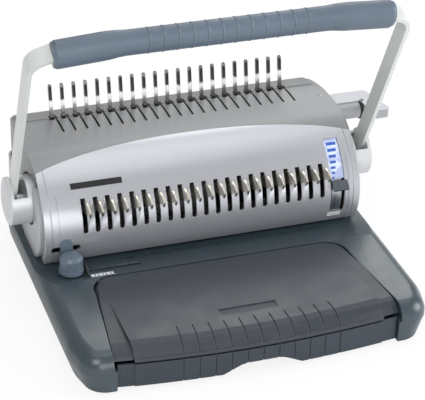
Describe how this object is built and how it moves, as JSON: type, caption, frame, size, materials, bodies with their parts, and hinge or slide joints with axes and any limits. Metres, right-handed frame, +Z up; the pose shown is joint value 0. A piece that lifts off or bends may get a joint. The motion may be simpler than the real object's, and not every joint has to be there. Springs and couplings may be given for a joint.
{
  "type": "comb binding machine",
  "caption": "Desktop plastic comb binding machine with barrel hood, U-shaped punching handle, comb posts, opening hooks and side lever, paper table, storage lid and chip drawer.",
  "frame": {"origin": "under the middle of the whole machine, on the surface it stands on", "axes": "+X to the right along the row of posts, +Y to the back, +Z up"},
  "size_m": [0.4918, 0.387, 0.358],
  "materials": {
    "base_green": "satin moulded, fine grain",
    "black_plastic": "matt moulded",
    "foot_rubber": "matt",
    "barrel_silver": "silver enamel, satin",
    "cover_grey": "satin moulded",
    "panel_grey": "satin moulded",
    "plated_steel": "zinc plated",
    "tool_steel": "ground and oiled",
    "post_chrome": "polished chrome",
    "window_black": "matt",
    "label_face": "printed film",
    "rail_steel": "bright drawn",
    "arm_enamel": "warm grey enamel",
    "grip_blue": "soft satin",
    "hub_silver": "silver lacquer",
    "hook_nickel": "nickel plated",
    "lid_slate": "satin moulded",
    "slider_dark": "dark polished"
  },
  "bodies": {
    "machine": {"base_housing": "base_green", "base_floor": "black_plastic", "rubber_feet": "foot_rubber", "storage_tray": "black_plastic", "barrel_cover": "barrel_silver", "top_cover": "cover_grey", "rear_cover": "cover_grey", "side_panel_left": "panel_grey", "side_panel_right": "panel_grey", "chassis_left": "plated_steel", "chassis_right": "plated_steel", "tie_bars": "plated_steel", "hook_shaft": "plated_steel", "die_plate": "tool_steel", "punch_guide": "tool_steel", "comb_posts": "post_chrome", "post_bar": "plated_steel", "size_plate": "window_black", "size_label": "label_face", "size_rail": "rail_steel", "front_badge": "window_black"},
    "handle": {"handle_bar": "arm_enamel", "handle_grip": "grip_blue", "hubs": "hub_silver", "hub_caps": "hub_silver", "handle_shaft": "plated_steel", "punch_cams": "tool_steel"},
    "punch": {"punch_bar": "tool_steel", "punch_pins": "tool_steel"},
    "hooks": {"hook_carrier": "plated_steel", "front_hooks": "hook_nickel"},
    "opener": {"opener_shaft": "plated_steel", "opener_lever": "grip_blue", "rake_hooks": "hook_nickel"},
    "lid": {"lid": "lid_slate"},
    "drawer": {"chip_drawer": "lid_slate"},
    "edge_guide": {"guide_fence": "black_plastic", "guide_nut": "plated_steel"},
    "knob": {"guide_knob": "grip_blue"},
    "depth_selector": {"depth_selector": "grip_blue"},
    "size_slider": {"size_slider": "slider_dark"}
  },
  "joints": [
    {"name": "handle_swing", "type": "hinge", "parent": "machine", "child": "handle", "pos_m": [0, 0.072, 0.1037], "axis": [1, 0, 0], "range_deg": [0, 55], "stiffness_Nm_per_rad": 3, "springref_deg": -45.84},
    {"name": "punch_stroke", "type": "slide", "parent": "machine", "child": "punch", "axis": [0, 0, -1], "range_m": [0, 0.0101]},
    {"name": "opener_swing", "type": "hinge", "parent": "machine", "child": "opener", "pos_m": [0, 0.1405, 0.122], "axis": [1, 0, 0], "range_deg": [0, 60]},
    {"name": "hook_swing", "type": "hinge", "parent": "machine", "child": "hooks", "pos_m": [0, 0.072, 0.082], "axis": [1, 0, 0], "range_deg": [0, 17.1]},
    {"name": "lid_hinge", "type": "hinge", "parent": "machine", "child": "lid", "pos_m": [0, -0.0345, 0.0464], "axis": [-1, 0, 0], "range_deg": [0, 70]},
    {"name": "drawer_slide", "type": "slide", "parent": "machine", "child": "drawer", "axis": [0, -1, 0], "range_m": [0, 0.15]},
    {"name": "guide_slide", "type": "slide", "parent": "machine", "child": "edge_guide", "axis": [1, 0, 0], "range_m": [-0.014, 0.078]},
    {"name": "knob_turn", "type": "hinge", "parent": "edge_guide", "child": "knob", "pos_m": [-0.1875, -0.0085, 0.05], "axis": [0, 0, 1], "range_deg": [-90, 90]},
    {"name": "depth_slide", "type": "slide", "parent": "machine", "child": "depth_selector", "axis": [1, 0, 0], "range_m": [-0.009, 0.009]},
    {"name": "size_slide", "type": "hinge", "parent": "machine", "child": "size_slider", "pos_m": [0.1395, 0.072, 0.082], "axis": [1, 0, 0], "range_deg": [0, 25]}
  ],
  "couplings": [
    {"joint": "punch_stroke", "follows": "handle_swing", "m_per_rad": 0.010418},
    {"joint": "hook_swing", "follows": "opener_swing", "ratio": 0.28333}
  ]
}
